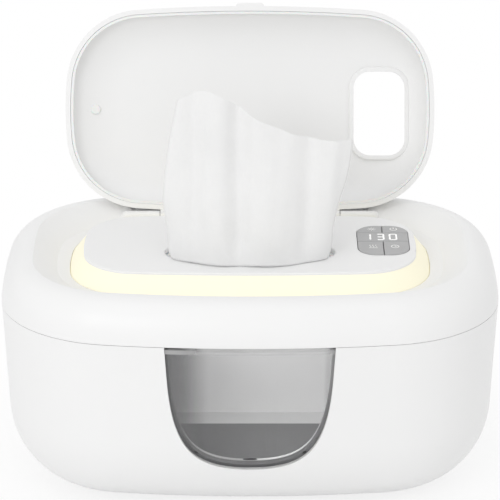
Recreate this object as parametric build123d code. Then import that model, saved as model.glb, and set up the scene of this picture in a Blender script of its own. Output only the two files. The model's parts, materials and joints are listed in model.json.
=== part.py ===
from build123d import *
from dataclasses import dataclass
import math
import os

# Baby wipe warmer: a heated tank in a lower shell, a hinged cover with a light
# ring round its dispensing platform, and a lid hinged on the cover.
# Millimetres. X to the right, Y to the back, Z up. The origin is the centre of
# the plane that the feet stand on. The lid is drawn standing open.

# ---------------------------------------------------------------- dimensions
# Body, seen from above
body_length = 240.0
body_depth = 166.0
body_front_bow = 482.0        # radius of the gently bowed front and back
body_side_bow = 588.0         # radius of the bowed ends
body_corner = 60.0

# Body, seen from the side
foot_height = 1.5             # how far the feet stand below the floor
seam_height = 92.0            # where the cover parts from the lower shell
cover_rise = 20.2             # the cover's crest above the seam
wall = 2.5
seam_gap = 0.25
wall_lean = 4.6               # the lower wall leans in by this at the floor
floor_round_run = 34.0        # the rounded bottom edge, inwards
floor_round_rise = 38.0       # and upwards
shoulder_run = 13.7           # the rounded top edge, inwards
shoulder_rise = 19.6          # and downwards
round_fullness = 0.72         # 0.707 draws an ellipse, more is squarer
crest_lip = 1.6

# Lid, seen from above when closed
lid_length = 185.3
lid_depth = 103.3
lid_front_bow = 865.0
lid_side_bow = 165.0
lid_corner = 38.2
lid_rim_rise = 14.0           # underside of the closed lid's rim above the seam
lid_height = 13.5
lid_wall = 2.2
lid_rim_width = 2.4
lid_rim_flat = 2.6            # the rim's inner face stands upright this far
lid_edge_flat = 1.2
lid_round_run = 23.0
lid_opening_angle = 110.0
lid_tab_width = 14.0
lid_tab_reach = 1.5
lid_tab_thickness = 2.6
lid_seal_width = 1.2
lid_seal_height = 2.0
bumper_radius = 2.6
bumper_drop = 2.0             # below the lid's flat inner face
bumper_round = 0.7
bumper_x = -78.0
bumper_y = 0.0

# Platform, light ring and dished deck
platform_inset = 12.0         # platform edge inside the lid outline
platform_rise = 20.6          # above the seam
platform_skin = 2.4
platform_edge = 1.2
ring_run = 6.8                # the light ring slopes out by this
ring_wall = 1.4
ring_gap = 0.3
ring_flange_width = 4.0
ring_flange_thickness = 1.5
channel_rise = 11.2           # deck above the seam at the foot of the light ring
dish_rise = 1.4               # further rise out to the closed lid's edge
lid_edge_gap = 1.0

# Dispensing mouth
mouth_length = 82.0
mouth_depth = 38.0
mouth_centre_y = -11.0
mouth_wall = 1.6
mouth_edge_round = 0.7
grommet_flange = 1.8          # the soft diaphragm is held under the platform by this
grommet_thickness = 1.6
grommet_recess = 0.6          # the diaphragm is thinner inside its flange
slot_depth = 24.0             # the oval slot in the soft diaphragm
wipe_neck = 60.0              # width of the wipe where it passes the slot

# Control panel
panel_width = 24.8
panel_depth = 39.0
panel_centre_x = 64.75
panel_centre_y = 3.8
panel_corner = 9.0
panel_proud = 0.4
panel_gap = 0.3               # round the panel and between its keys
front_key_depth = 17.6
rear_key_depth = 9.6
key_thickness = 2.4
key_travel = 0.7
stem_radius = 1.8
stem_clearance = 0.4
panel_frame_thickness = 1.5
panel_frame_margin = 2.2

# Circuit boards and switches
board_thickness = 1.6
switch_width = 6.0
switch_height = 3.4
plunger_radius = 1.7
plunger_height = 0.9
press_gap = 0.2               # left between stem and plunger when pressed
switch_drop = 1.1             # plunger tops below the panel frame
control_board_depth = 52.0
control_board_margin = 1.2    # board outside the panel, left and right
led_board_thickness = 1.2
led_count = 28
led_size = 2.8
led_thickness = 1.1

# Lid window over the panel
lid_window_width = 25.9
lid_window_depth = 42.4
lid_window_corner = 8.4
lid_window_centre_x = 65.3
lid_window_centre_y = 2.0
collar_wall = 2.4
collar_drop = 1.8             # the low collar below the lid's inner face
collar_round = 0.9

# Lid hinge
lid_hinge_behind = 2.0        # axis behind the lid's rear edge
lid_hinge_above = 0.8         # axis above the rim's underside
lid_knuckle_radius = 2.6
lid_knuckle_length = 10.0
lid_hinge_spacing = 40.0      # each hinge from the middle
hinge_rib_half = 62.0         # the rib on the deck that the lid's knuckles sit in
hinge_rib_foot = 0.8          # the rib's underside above the foot of the light ring
pin_seat = 2.5                # each end of a pin sits in the rib by this
trough_half_length = 56.0
trough_rise = 14.2            # trough floor above the seam
trough_flat = 2.2
trough_slope_run = 8.0
trough_slope_rise = 4.2
hinge_clearance = 0.4
lid_pin_radius = 1.0
pin_fit = 0.05

# Cover hinge
cover_hinge_behind = 0.5      # axis behind the body's back
cover_knuckle_radius = 4.0
cover_knuckle_half = 22.0
side_knuckle_length = 15.6
cover_pin_radius = 1.5
gusset_height = 15.0

# Window in the front of the lower shell
window_top_width = 79.8
window_foot_width = 72.0      # where its leaning sides would meet the bottom
window_depth = 63.8
window_straight = 16.0        # how far down its sides stay straight
window_fullness = 1.3         # of the curve from there to the middle of the bottom
window_gap = 0.2
pane_recess = 0.5
window_land = 3.0             # the seal and the pane's flange outside the opening
pane_thickness = 3.3
pane_top_gap = 0.8
seal_overlap = 1.0            # the tank's opening inside the window's

# Tank
tank_inset = 8.0              # outside of the tank, from the outer skin
tank_wall = 2.0
tank_back = 27.0              # outside of the tank's rear wall
tank_rim_thickness = 1.5
tank_ledge = 3.0
tank_corner = 6.0             # inside the upright rear corners

# Floor parts
base_plate_inset = 42.0
base_plate_thickness = 2.4
base_ledge_width = 8.0
base_ledge_thickness = 2.5
foot_radius = 7.0
foot_recess = 1.0
heater_length = 116.0
heater_depth = 50.0
heater_thickness = 1.2
film_thickness = 0.6
pad_thickness = 2.2
soft_gap = 0.3
fit_gap = 0.3
heater_centre_y = -4.0
liner_thickness = 2.4
liner_lift = 1.0              # liner above the seam
gasket_width = 2.4
gasket_step = 0.6             # back from the tank's inner edge

# Side releases
release_length = 22.0
release_height = 11.0
release_centre_y = -4.0
release_drop = 13.0           # middle of the button below the seam
release_proud = 0.5
release_travel = 1.5
release_flange = 1.2
release_clear = 1.2           # flange behind the wall's inner face
spring_leaf_length = 10.0
spring_leaf_height = 6.0
spring_leaf_thickness = 0.4
hook_width = 8.0
hook_thickness = 1.4
hook_rise = 6.0

# Screws
cover_screw_inset = 19.0      # in from the body's ends
cover_screw_spread = 26.0     # of the screws at the ends, each way from the middle
front_screw_x = 52.0
front_screw_inset = 19.5      # in from the body's front
rear_screw_end_inset = 40.0   # in from the body's ends
rear_screw_inset = 27.0       # in from the body's back
floor_screw_inset = 5.0       # in from the base plate's rounded corners
screw_radius = 1.3
screw_head_radius = 2.6
screw_head_height = 1.4
screw_length = 7.0
boss_radius = 3.5
screw_fit = 0.05

# ------------------------------------------------------------ derived places
body_floor = foot_height
core_inset = floor_round_run + wall_lean + 4.0
crest_height = seam_height + cover_rise
platform_height = seam_height + platform_rise
channel_height = seam_height + channel_rise
lid_rim_height = seam_height + lid_rim_rise
trough_floor = seam_height + trough_rise
release_centre_z = seam_height - release_drop
lid_top = lid_rim_height + lid_height
ring_top = platform_height - platform_edge
platform_underside = platform_height - platform_skin
grommet_bottom = platform_underside - soft_gap - grommet_thickness
panel_top = platform_height + panel_proud
frame_top = panel_top - key_thickness - key_travel - fit_gap
frame_bottom = frame_top - panel_frame_thickness
plunger_top = frame_bottom - switch_drop
board_top = plunger_top - plunger_height - switch_height
lid_axis_y = lid_depth / 2 + lid_hinge_behind
lid_axis_z = lid_rim_height + lid_hinge_above
cover_axis_y = body_depth / 2 + cover_hinge_behind
cover_axis_z = seam_height
shell_top = seam_height - seam_gap / 2
cover_bottom = seam_height + seam_gap / 2
liner_bottom = seam_height + liner_lift
liner_top = liner_bottom + liner_thickness
flange_top = channel_height - wall
flange_bottom = flange_top - ring_flange_thickness
tank_floor = body_floor + tank_inset
pane_back = pane_recess + pane_thickness
tank_rim_bottom = shell_top - tank_rim_thickness
plate_top = body_floor + base_plate_thickness
floor_ledge_top = plate_top + base_ledge_thickness


# ------------------------------------------------------------------ outlines
@dataclass(frozen=True)
class Outline:
    """Four gently bowed sides with rounded corners, seen from above."""

    length: float
    depth: float
    front_bow: float
    side_bow: float
    corner: float

    def inset(self, distance):
        """The parallel outline a distance further in, or out if negative."""
        return Outline(
            self.length - 2 * distance,
            self.depth - 2 * distance,
            self.front_bow - distance,
            self.side_bow - distance,
            self.corner - distance,
        )

    def face(self, height):
        y_centre = self.front_bow - self.depth / 2
        x_centre = self.side_bow - self.length / 2
        sides = Pos(0, y_centre) * Circle(self.front_bow)
        sides &= Pos(0, -y_centre) * Circle(self.front_bow)
        sides &= Pos(x_centre, 0) * Circle(self.side_bow)
        sides &= Pos(-x_centre, 0) * Circle(self.side_bow)
        return Pos(0, 0, height) * fillet(sides.vertices(), self.corner)

    def prism(self, bottom, top):
        return extrude(self.face(bottom), top - bottom)

    def corner_places(self):
        """The middles of the four rounded corners."""
        arcs = [edge for edge in self.face(0).edges() if abs(edge.radius - self.corner) < 0.01]
        return [((arc @ 0.5).X, (arc @ 0.5).Y) for arc in arcs]


body = Outline(body_length, body_depth, body_front_bow, body_side_bow, body_corner)
lid = Outline(lid_length, lid_depth, lid_front_bow, lid_side_bow, lid_corner)
platform = lid.inset(platform_inset)
ring_foot = platform.inset(-ring_run)


# ------------------------------------------------------------- shape helpers
def conic(start, corner, end):
    """A rounded corner that leaves both of its straight neighbours smoothly."""
    return Bezier(start, corner, end, weights=[1, round_fullness, 1])


def sweep_round(outline, section):
    """Carry a section, drawn outward and up from the outline, once round it."""
    path = outline.face(0).wire()
    start = path @ 0
    along = path % 0
    outward = Vector(along.Y, -along.X, 0)
    if outward.dot(start) < 0:
        outward = -outward
    plane = Plane(origin=start, x_dir=outward, z_dir=outward.cross(Vector(0, 0, 1)))
    return sweep(plane * section, path=path)


def closed(curve):
    return make_face(curve.edges())


def lower_form(inset):
    """The lower body as a solid block, drawn in from its outer skin."""
    floor = body_floor + inset
    full = seam_height - body_floor
    round_top = body_floor + floor_round_rise
    lean_at_round = inset + wall_lean * (seam_height - round_top) / full
    lean_at_floor = inset + wall_lean * (seam_height - floor) / full
    flat = wall_lean + floor_round_run
    edges = Polyline(
        (-core_inset, floor),
        (-core_inset, seam_height),
        (-inset, seam_height),
        (-lean_at_round, round_top),
    )
    edges += conic((-lean_at_round, round_top), (-lean_at_floor, floor), (-flat, floor))
    edges += Line((-flat, floor), (-core_inset, floor))
    core = body.inset(core_inset - 1).prism(floor, seam_height)
    return sweep_round(body, closed(edges)) + core


def cover_form(inset):
    """The cover as a solid block, drawn in from its outer skin."""
    top = crest_height - inset
    round_bottom = crest_height - shoulder_rise
    edges = Polyline(
        (-shoulder_run, top),
        (-core_inset, top),
        (-core_inset, seam_height),
        (-inset, seam_height),
        (-inset, round_bottom),
    )
    edges += conic((-inset, round_bottom), (-inset, top), (-shoulder_run, top))
    core = body.inset(core_inset - 1).prism(seam_height, top)
    return sweep_round(body, closed(edges)) + core


def dish_form(drop):
    """Everything over the dished deck, lowered by a drop."""
    foot = ring_foot.face(channel_height - drop)
    edge = lid.inset(-lid_edge_gap).face(channel_height + dish_rise - drop)
    crest = body.inset(shoulder_run + crest_lip).face(crest_height - drop)
    return loft([foot, edge], ruled=True) + loft([edge, crest], ruled=True)


def trough_form(drop):
    """The shallow hollow that the open lid's back hangs in, lowered by a drop."""
    floor = trough_floor - drop
    flat_end = lid_axis_y + lid_knuckle_radius + trough_flat
    slope_end = flat_end + trough_slope_run
    section = Polyline(
        (lid_axis_y, floor),
        (flat_end, floor),
        (slope_end, floor + trough_slope_rise),
        (slope_end, crest_height - drop),
        (lid_axis_y, crest_height - drop),
        close=True,
    )
    run = 1.5 * (crest_height - trough_floor)
    ends = Polyline(
        (-trough_half_length, floor),
        (trough_half_length, floor),
        (trough_half_length + run, crest_height - drop),
        (-trough_half_length - run, crest_height - drop),
        close=True,
    )
    hollow = extrude(Plane.YZ * make_face(section), body_length / 2, both=True)
    return hollow & extrude(Plane.XZ * make_face(ends), body_depth, both=True)


def along_x(radius, y, z, x_from, x_to):
    """A round bar or bore that runs along X."""
    return Pos(x_from, y, z) * extrude(Plane.YZ * Circle(radius), x_to - x_from)


def upright(radius, x, y, bottom, top):
    """A round bar or bore that stands upright."""
    return Pos(x, y, bottom) * extrude(Circle(radius), top - bottom)


def block(x, y, bottom, length, depth, height, corner=0.0):
    """A box by the middle of its underside, with its upright edges rounded."""
    shape = RectangleRounded(length, depth, corner) if corner else Rectangle(length, depth)
    return Pos(x, y, bottom) * extrude(shape, height)


def joined(pieces):
    """Several shapes as one, whether or not they touch."""
    total = pieces[0]
    for piece in pieces[1:]:
        total += piece
    return total


def mirrored_pair(piece):
    """The piece together with its mirror image on the other side of the body."""
    return piece + mirror(piece, about=Plane.YZ)


# -------------------------------------------------------------- window shape
def window_face(grow):
    """The window opening as seen from the front, grown by a margin."""
    bottom = seam_height - window_depth
    share = window_straight / window_depth
    half_top = window_top_width / 2 + grow
    half_foot = window_foot_width / 2 + grow
    half_joint = half_top + (half_foot - half_top) * share
    joint = seam_height - window_straight
    foot = bottom - grow
    weights = [1, window_fullness, 1]
    edges = Polyline(
        (-half_joint, joint),
        (-half_top, seam_height),
        (half_top, seam_height),
        (half_joint, joint),
    )
    edges += Bezier((half_joint, joint), (half_foot, foot), (0, foot), weights=weights)
    edges += Bezier((0, foot), (-half_foot, foot), (-half_joint, joint), weights=weights)
    return closed(edges)


def window_prism(grow):
    """The window opening driven back through the front wall."""
    start = -body_depth / 2 - 5
    return Pos(0, start, 0) * extrude(Plane.XZ * window_face(grow), -body_depth / 4)


def below_seam(top):
    """A slab that cuts away whatever stands above a height."""
    return block(0, 0, top, 2 * body_length, 2 * body_depth, 2 * crest_height)


# ---------------------------------------------------------------- hinge bits
def cover_hinge_relief(x_from, x_to):
    return along_x(
        cover_knuckle_radius + hinge_clearance, cover_axis_y, cover_axis_z, x_from, x_to
    )


side_knuckle_start = cover_knuckle_half + hinge_clearance
side_knuckle_end = side_knuckle_start + side_knuckle_length
middle_relief = cover_hinge_relief(-side_knuckle_start, side_knuckle_start)
side_relief = mirrored_pair(
    cover_hinge_relief(side_knuckle_start - hinge_clearance, side_knuckle_end + hinge_clearance)
)
cover_pin_bore = along_x(
    cover_pin_radius + pin_fit, cover_axis_y, cover_axis_z, -body_length, body_length
)


def hinge_knuckle(x_from, x_to, direction):
    """A barrel on the cover's axis with a gusset up or down the back wall."""
    reach = direction * gusset_height
    root = cover_axis_y - cover_hinge_behind - wall / 2
    gusset = Polyline(
        (root, cover_axis_z + direction * seam_gap),
        (cover_axis_y + cover_knuckle_radius * 0.9, cover_axis_z + direction * seam_gap),
        (root, cover_axis_z + reach),
        close=True,
    )
    web = Pos(x_from, 0, 0) * extrude(Plane.YZ * make_face(gusset), x_to - x_from)
    barrel = along_x(cover_knuckle_radius, cover_axis_y, cover_axis_z, x_from, x_to)
    return barrel + web


# -------------------------------------------------------------- lower shell
sides = {"left": -1, "right": 1}


def release_prism(side, grow, from_inset, to_inset):
    """The side release's oblong between two distances in from the body's end."""
    plane = Plane(
        origin=(side * (body_length / 2 - from_inset), release_centre_y, release_centre_z),
        x_dir=(0, 1, 0),
        z_dir=(side, 0, 0),
    )
    oblong = SlotOverall(release_length + 2 * grow, release_height + 2 * grow)
    return extrude(plane * oblong, from_inset - to_inset)


def hook_slot(side, grow):
    """Room at the body's end for a release hook to stand and to travel in."""
    x = side * (body_length / 2 - tank_inset / 2)
    return block(x, release_centre_y, release_centre_z, tank_inset, hook_width + 2 * grow, crest_height)


def rectangle_corners(half_x, half_y, centre_y=0.0):
    return [(i * half_x, centre_y + j * half_y) for i in (-1, 1) for j in (-1, 1)]


floor_screw_places = body.inset(base_plate_inset + floor_screw_inset).corner_places()
foot_places = rectangle_corners(
    body_length / 2 - base_plate_inset - 24.0, body_depth / 2 - base_plate_inset - 14.0
)


def make_lower_shell():
    shell = lower_form(0) - lower_form(wall)
    shell += body.inset(base_plate_inset - wall).prism(body_floor, floor_ledge_top)
    rail = lower_form(wall / 2) - lower_form(wall + tank_ledge)
    shell += rail & body.prism(tank_rim_bottom - tank_ledge, tank_rim_bottom)
    shell -= body.inset(base_plate_inset).prism(body_floor, plate_top)
    shell -= body.inset(base_plate_inset + base_ledge_width).prism(body_floor, floor_ledge_top)
    for x, y in floor_screw_places:
        shell += upright(boss_radius, x, y, plate_top, tank_floor - 0.5)
        shell -= upright(screw_radius + screw_fit, x, y, body_floor, tank_floor)
    cavity = lower_form(wall)
    for side in sides.values():
        shell -= release_prism(side, fit_gap, tank_inset, -wall)
        shell -= hook_slot(side, fit_gap) & cavity
    shell -= window_prism(0)
    shell -= window_prism(window_land) & cavity
    shell -= below_seam(shell_top)
    shell += mirrored_pair(hinge_knuckle(side_knuckle_start, side_knuckle_end, -1))
    shell -= middle_relief
    shell -= cover_pin_bore
    shell -= inlet_bar(inlet_radius + inlet_gap, inlet_back - 30, inlet_back + 10)
    return shell


# ------------------------------------------------------- window and its seal
def make_window_pane():
    pane = lower_form(pane_recess) - lower_form(pane_back)
    pane &= window_prism(-window_gap)
    flange = lower_form(wall + window_gap) - lower_form(pane_back)
    flange &= window_prism(window_land - window_gap)
    return pane + flange - below_seam(shell_top - pane_top_gap)


def make_window_seal():
    band = lower_form(pane_back + window_gap) - lower_form(tank_inset - window_gap)
    band &= window_prism(window_land - window_gap) - window_prism(-seal_overlap)
    return band - below_seam(tank_rim_bottom - window_gap)


# ----------------------------------------------------------------- the tank
def tank_prism(inset, back, bottom, top):
    """The body's outline, cut straight across at the tank's back."""
    area = body.inset(inset).prism(bottom, top)
    area &= block(0, back - body_depth / 2, bottom, body_length, body_depth, top - bottom)
    rear = area.edges().filter_by(Axis.Z).group_by(Axis.Y)[-1]
    return fillet(rear, tank_corner + tank_inset + tank_wall - inset)


def make_inner_tank():
    inside = tank_inset + tank_wall
    tank = lower_form(tank_inset) & tank_prism(tank_inset, tank_back, body_floor, tank_rim_bottom)
    tank -= window_prism(-seal_overlap) & body.prism(0, tank_rim_bottom - tank_wall)
    rim = body.inset(wall + fit_gap).prism(tank_rim_bottom, shell_top)
    in_front = body.prism(0, seam_height) - body.inset(pane_back + window_gap).prism(0, seam_height)
    tank += rim - (window_prism(window_land) & in_front)
    tank -= lower_form(inside) & tank_prism(inside, tank_back - tank_wall, body_floor, seam_height)
    for side in sides.values():
        tank -= hook_slot(side, fit_gap)
    tank -= side_relief
    tank -= middle_relief
    for x, z in power_board_posts:
        tank += power_post(x, z)
        tank -= power_screw_bore(x, z)
    return tank


def make_tank_gasket():
    """The soft ring on the tank's rim that the cover's liner comes down to."""
    inside = tank_inset + tank_wall - gasket_step
    outside = inside - gasket_width
    back = tank_back - tank_wall + gasket_step
    ring = tank_prism(outside, back + gasket_width, shell_top, liner_bottom - soft_gap)
    return ring - tank_prism(inside, back, shell_top, liner_bottom)


# ------------------------------------------------- heater, boards and inlet
def make_heater_plate():
    bottom = tank_floor - heater_thickness
    plate = block(0, heater_centre_y, bottom, heater_length, heater_depth, heater_thickness, 6)
    return plate


def make_heater_film():
    """The heating film under the plate, with a tail that leads to the back."""
    bottom = tank_floor - heater_thickness - film_thickness
    margin = 4.0
    film = block(
        0, heater_centre_y, bottom, heater_length - 2 * margin, heater_depth - 2 * margin, film_thickness, 4
    )
    tail_start = heater_centre_y + heater_depth / 2 - 2 * margin
    tail_end = tank_back + 4
    tail = block(20, (tail_start + tail_end) / 2, bottom, 12, tail_end - tail_start, film_thickness)
    return film + tail


def make_insulation_pad():
    top = tank_floor - heater_thickness - film_thickness - soft_gap
    return block(0, heater_centre_y, top - pad_thickness, heater_length, heater_depth, pad_thickness, 8)


thermostat_x = -30.0
thermostat_z = 30.0
thermostat_radius = 8.0
thermostat_depth = 5.0


def make_thermostat():
    """A round bimetal switch on a strap, with two blade terminals."""
    facing = Plane(origin=(thermostat_x, tank_back, thermostat_z), z_dir=(0, 1, 0))
    strap = extrude(facing * RectangleRounded(30, 9, 3), 0.8)
    body_can = extrude(facing * Circle(thermostat_radius), thermostat_depth)
    shoulder = extrude(facing * Circle(thermostat_radius - 1.5), thermostat_depth + 3)
    blades = [
        extrude(facing * Pos(x, 0) * Rectangle(0.8, 4.5), thermostat_depth + 9) for x in (-3.5, 3.5)
    ]
    return joined([strap, body_can, shoulder] + blades)


def make_thermal_fuse():
    """A small axial fuse lying in its two clips on the tank's back."""
    y = tank_back + 3.0
    fuse = along_x(1.9, y, thermostat_z, 12, 24)
    leads = along_x(0.5, y, thermostat_z, 6, 30)
    clips = [block(x, tank_back + 1.5, thermostat_z - 1.5, 2, 3, 3) for x in (8, 28)]
    return joined([fuse, leads] + clips)


power_board_width = 104.0
power_board_height = 50.0
power_board_bottom = 18.0
power_post_length = 14.0
power_post_radius = 3.0
power_board_y = tank_back + power_post_length
power_board_posts = [
    (i * (power_board_width / 2 - 5), power_board_bottom + 5 + j * (power_board_height - 10))
    for i in (-1, 1)
    for j in (0, 1)
]


def toward_back(radius, x, z, y_from, y_to):
    """A round bar or bore that runs along Y."""
    return extrude(Plane(origin=(x, y_from, z), z_dir=(0, 1, 0)) * Circle(radius), y_to - y_from)


def power_post(x, z):
    return toward_back(power_post_radius, x, z, tank_back - tank_wall / 2, power_board_y)


def power_screw_bore(x, z):
    return toward_back(screw_radius + screw_fit, x, z, tank_back + 1, power_board_y)


def make_power_board():
    board = Pos(0, power_board_y, power_board_bottom + power_board_height / 2) * extrude(
        Plane.XZ * RectangleRounded(power_board_width, power_board_height, 2), -board_thickness
    )
    for x, z in power_board_posts:
        board -= toward_back(screw_radius + fit_gap, x, z, power_board_y - 1, power_board_y + 5)
    return board


def make_power_parts():
    """Coil, capacitors, relay and connectors on the back of the power board."""
    face = power_board_y + board_thickness
    middle = power_board_bottom + power_board_height / 2

    def brick(x, z, width, height, depth):
        return block(x, face + depth / 2, z - height / 2, width, depth, height)

    coil = brick(-24, middle, 18, 20, 14)
    relay = brick(4, middle - 8, 19, 15, 12)
    heater_plug = brick(30, middle + 12, 14, 8, 8)
    inlet_plug = brick(34, middle - 10, 8, 12, 8)
    cans = [toward_back(4, x, middle + 12, face, face + 11) for x in (0, 11)]
    return coil + relay + heater_plug + inlet_plug + cans[0] + cans[1]


inlet_x = 45.0
inlet_z = 46.0
inlet_radius = 4.6
inlet_gap = 0.2
inlet_flange_radius = 6.5
inlet_length = 15.0
inlet_bore_radius = 2.8
inlet_bore_depth = 9.5
inlet_pin_radius = 0.65
# The back wall at the inlet stands in from the seam by its bow and its lean.
inlet_back = (
    body_depth / 2
    - (body_front_bow - math.sqrt(body_front_bow**2 - inlet_x**2))
    - wall_lean * (seam_height - inlet_z) / (seam_height - body_floor)
)


def inlet_bar(radius, y_from, y_to):
    return toward_back(radius, inlet_x, inlet_z, y_from, y_to)


def make_power_inlet():
    """The round low-voltage socket in the back, with its centre pin."""
    mouth = inlet_back - 0.8
    flange_front = inlet_back - wall - 1.6
    socket = inlet_bar(inlet_radius, mouth - inlet_length, mouth)
    socket += inlet_bar(inlet_flange_radius, flange_front - 2, flange_front)
    socket -= inlet_bar(inlet_bore_radius, mouth - inlet_bore_depth, mouth)
    socket += inlet_bar(inlet_pin_radius, mouth - inlet_bore_depth - 1, mouth - 1.5)
    return socket


# ------------------------------------------------------------ floor and feet
def screw(x, y, head_bottom, upward_length):
    """A cross-headed screw driven upwards, its head flush with what it holds."""
    head = upright(screw_head_radius, x, y, head_bottom, head_bottom + screw_head_height)
    shank = upright(screw_radius, x, y, head_bottom, head_bottom + upward_length)
    slot = block(x, y, head_bottom, 3.2, 0.7, 0.7) + block(x, y, head_bottom, 0.7, 3.2, 0.7)
    return head + shank - slot


def screw_seat(x, y, head_bottom, upward_length):
    """The bore and head recess that such a screw goes into."""
    recess = upright(screw_head_radius + fit_gap, x, y, head_bottom, head_bottom + screw_head_height)
    return recess + upright(screw_radius + fit_gap, x, y, head_bottom, head_bottom + upward_length)


def make_base_plate():
    plate = body.inset(base_plate_inset + fit_gap).prism(body_floor, plate_top)
    pad_bottom = tank_floor - heater_thickness - film_thickness - soft_gap - pad_thickness
    rib_height = pad_bottom - soft_gap - plate_top
    for x in (-45, -15, 15, 45):
        plate += block(x, heater_centre_y, plate_top, 1.6, heater_depth - 8, rib_height)
    for x, y in foot_places:
        plate -= upright(foot_radius + fit_gap, x, y, 0, body_floor + foot_recess)
    for x, y in floor_screw_places:
        plate -= screw_seat(x, y, body_floor, screw_length)
    for row in (-1, 0, 1):
        plate -= block(0, heater_centre_y + row * 5, body_floor, 40, 2, base_plate_thickness, 0.9)
    return plate


def make_feet():
    feet = [upright(foot_radius, x, y, 0, body_floor + foot_recess) for x, y in foot_places]
    rounded = [chamfer(foot.edges().group_by(Axis.Z)[0], 0.6) for foot in feet]
    return joined(rounded)


def make_floor_screws():
    return joined([screw(x, y, body_floor, screw_length) for x, y in floor_screw_places])


def make_power_screws():
    start = power_board_y + board_thickness
    pieces = []
    for x, z in power_board_posts:
        pieces.append(toward_back(screw_head_radius, x, z, start, start + screw_head_height))
        pieces.append(toward_back(screw_radius, x, z, start - screw_length, start + 0.1))
    return joined(pieces)


# ------------------------------------------------------------- side releases
def make_release_button(side):
    """The oblong button, its flange behind the wall and the hook on top of it."""
    sign = sides[side]
    button = release_prism(sign, 0, wall + 2.0, -release_proud)
    button &= lower_form(-release_proud) & body.inset(-release_proud).prism(0, seam_height)
    flange_outside = wall + release_clear
    flange = release_prism(sign, 1.6, flange_outside + release_flange, flange_outside)
    arm_x = sign * (body_length / 2 - flange_outside - hook_thickness / 2)
    arm_height = seam_height + hook_rise - release_centre_z
    arm = block(arm_x, release_centre_y, release_centre_z, hook_thickness, hook_width, arm_height)
    nose_x = arm_x - sign * (hook_thickness / 2 + 0.3)
    nose = block(nose_x, release_centre_y, seam_height + hook_rise - 1.6, 0.6, hook_width, 1.6)
    return button + flange + arm + nose


def make_release_spring(side):
    """Two bowed leaves behind the button, drawn as flat as when it is pressed."""
    start = wall + release_clear + hook_thickness
    room = tank_inset - start - release_travel - fit_gap
    bow = room - spring_leaf_thickness
    radius = ((spring_leaf_length / 2) ** 2 + bow**2) / (2 * bow)
    crown = body_length / 2 - start
    leaf = Circle(radius) - Circle(radius - spring_leaf_thickness)
    leaf &= Pos(radius - room / 2, 0) * Rectangle(room, spring_leaf_length)
    bottom = release_centre_z - spring_leaf_height / 2
    pieces = [
        Pos(crown - radius, release_centre_y + offset_y, bottom) * extrude(leaf, spring_leaf_height)
        for offset_y in (-0.6 * spring_leaf_length, 0.6 * spring_leaf_length)
    ]
    pair = joined(pieces)
    return pair if side == "right" else mirror(pair, about=Plane.YZ)


# ---------------------------------------------------------- cover: the shell
cover_screw_places = [
    (i * x, y)
    for i in (-1, 1)
    for x, y in (
        (body_length / 2 - cover_screw_inset, cover_screw_spread),
        (body_length / 2 - cover_screw_inset, -cover_screw_spread),
        (front_screw_x, -body_depth / 2 + front_screw_inset),
        (body_length / 2 - rear_screw_end_inset, body_depth / 2 - rear_screw_inset),
    )
]
platform_screw_places = [(-46.8, mouth_centre_y), (46.8, mouth_centre_y), (-34, 24), (34, 24)]


def catch_rib(sign):
    """The small rib inside the cover's end that a release hook stands beside."""
    inner = wall + release_clear - fit_gap
    x = sign * (body_length / 2 - (inner + wall / 2) / 2)
    return block(x, release_centre_y, seam_height + hook_rise - 2, inner - wall / 2, hook_width, 2)


# Lid hinge: at each of two places the lid's knuckle turns in a gap of the rib.
hinge_places = (-lid_hinge_spacing, lid_hinge_spacing)
half_knuckle = lid_knuckle_length / 2
half_pin = half_knuckle + hinge_clearance + pin_seat
knuckle_spans = [(x - half_knuckle, x + half_knuckle) for x in hinge_places]
pin_spans = [(x - half_pin, x + half_pin) for x in hinge_places]
rib_end = hinge_rib_half + lid_knuckle_radius
rib_spans = [
    (-rib_end, -lid_hinge_spacing - half_knuckle - hinge_clearance),
    (-lid_hinge_spacing + half_knuckle + hinge_clearance, lid_hinge_spacing - half_knuckle - hinge_clearance),
    (lid_hinge_spacing + half_knuckle + hinge_clearance, rib_end),
]
lid_pin_bores = joined(
    [
        along_x(lid_pin_radius + pin_fit, lid_axis_y, lid_axis_z, x_from - pin_fit, x_to + pin_fit)
        for x_from, x_to in pin_spans
    ]
)


def knuckle_room(x_from, x_to):
    """The round room that a lid knuckle turns in, between its span's two ends."""
    return along_x(
        lid_knuckle_radius + hinge_clearance,
        lid_axis_y,
        lid_axis_z,
        x_from - hinge_clearance,
        x_to + hinge_clearance,
    )


def make_hinge_rib():
    """The rounded rib across the back of the deck, open where the knuckles are."""
    foot = channel_height + hinge_rib_foot
    rise = lid_axis_z - foot
    rib = along_x(lid_knuckle_radius, lid_axis_y, lid_axis_z, -hinge_rib_half, hinge_rib_half)
    rib += block(0, lid_axis_y, foot, 2 * hinge_rib_half, 2 * lid_knuckle_radius, rise)
    for sign in sides.values():
        rib += upright(lid_knuckle_radius, sign * hinge_rib_half, lid_axis_y, foot, lid_axis_z)
        rib += Pos(sign * hinge_rib_half, lid_axis_y, lid_axis_z) * Sphere(lid_knuckle_radius)
    for x_from, x_to in knuckle_spans:
        gap = x_to - x_from + 2 * hinge_clearance
        rib -= block((x_from + x_to) / 2, lid_axis_y, foot, gap, lid_hinge_spacing, 2 * rise)
    return rib


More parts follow.
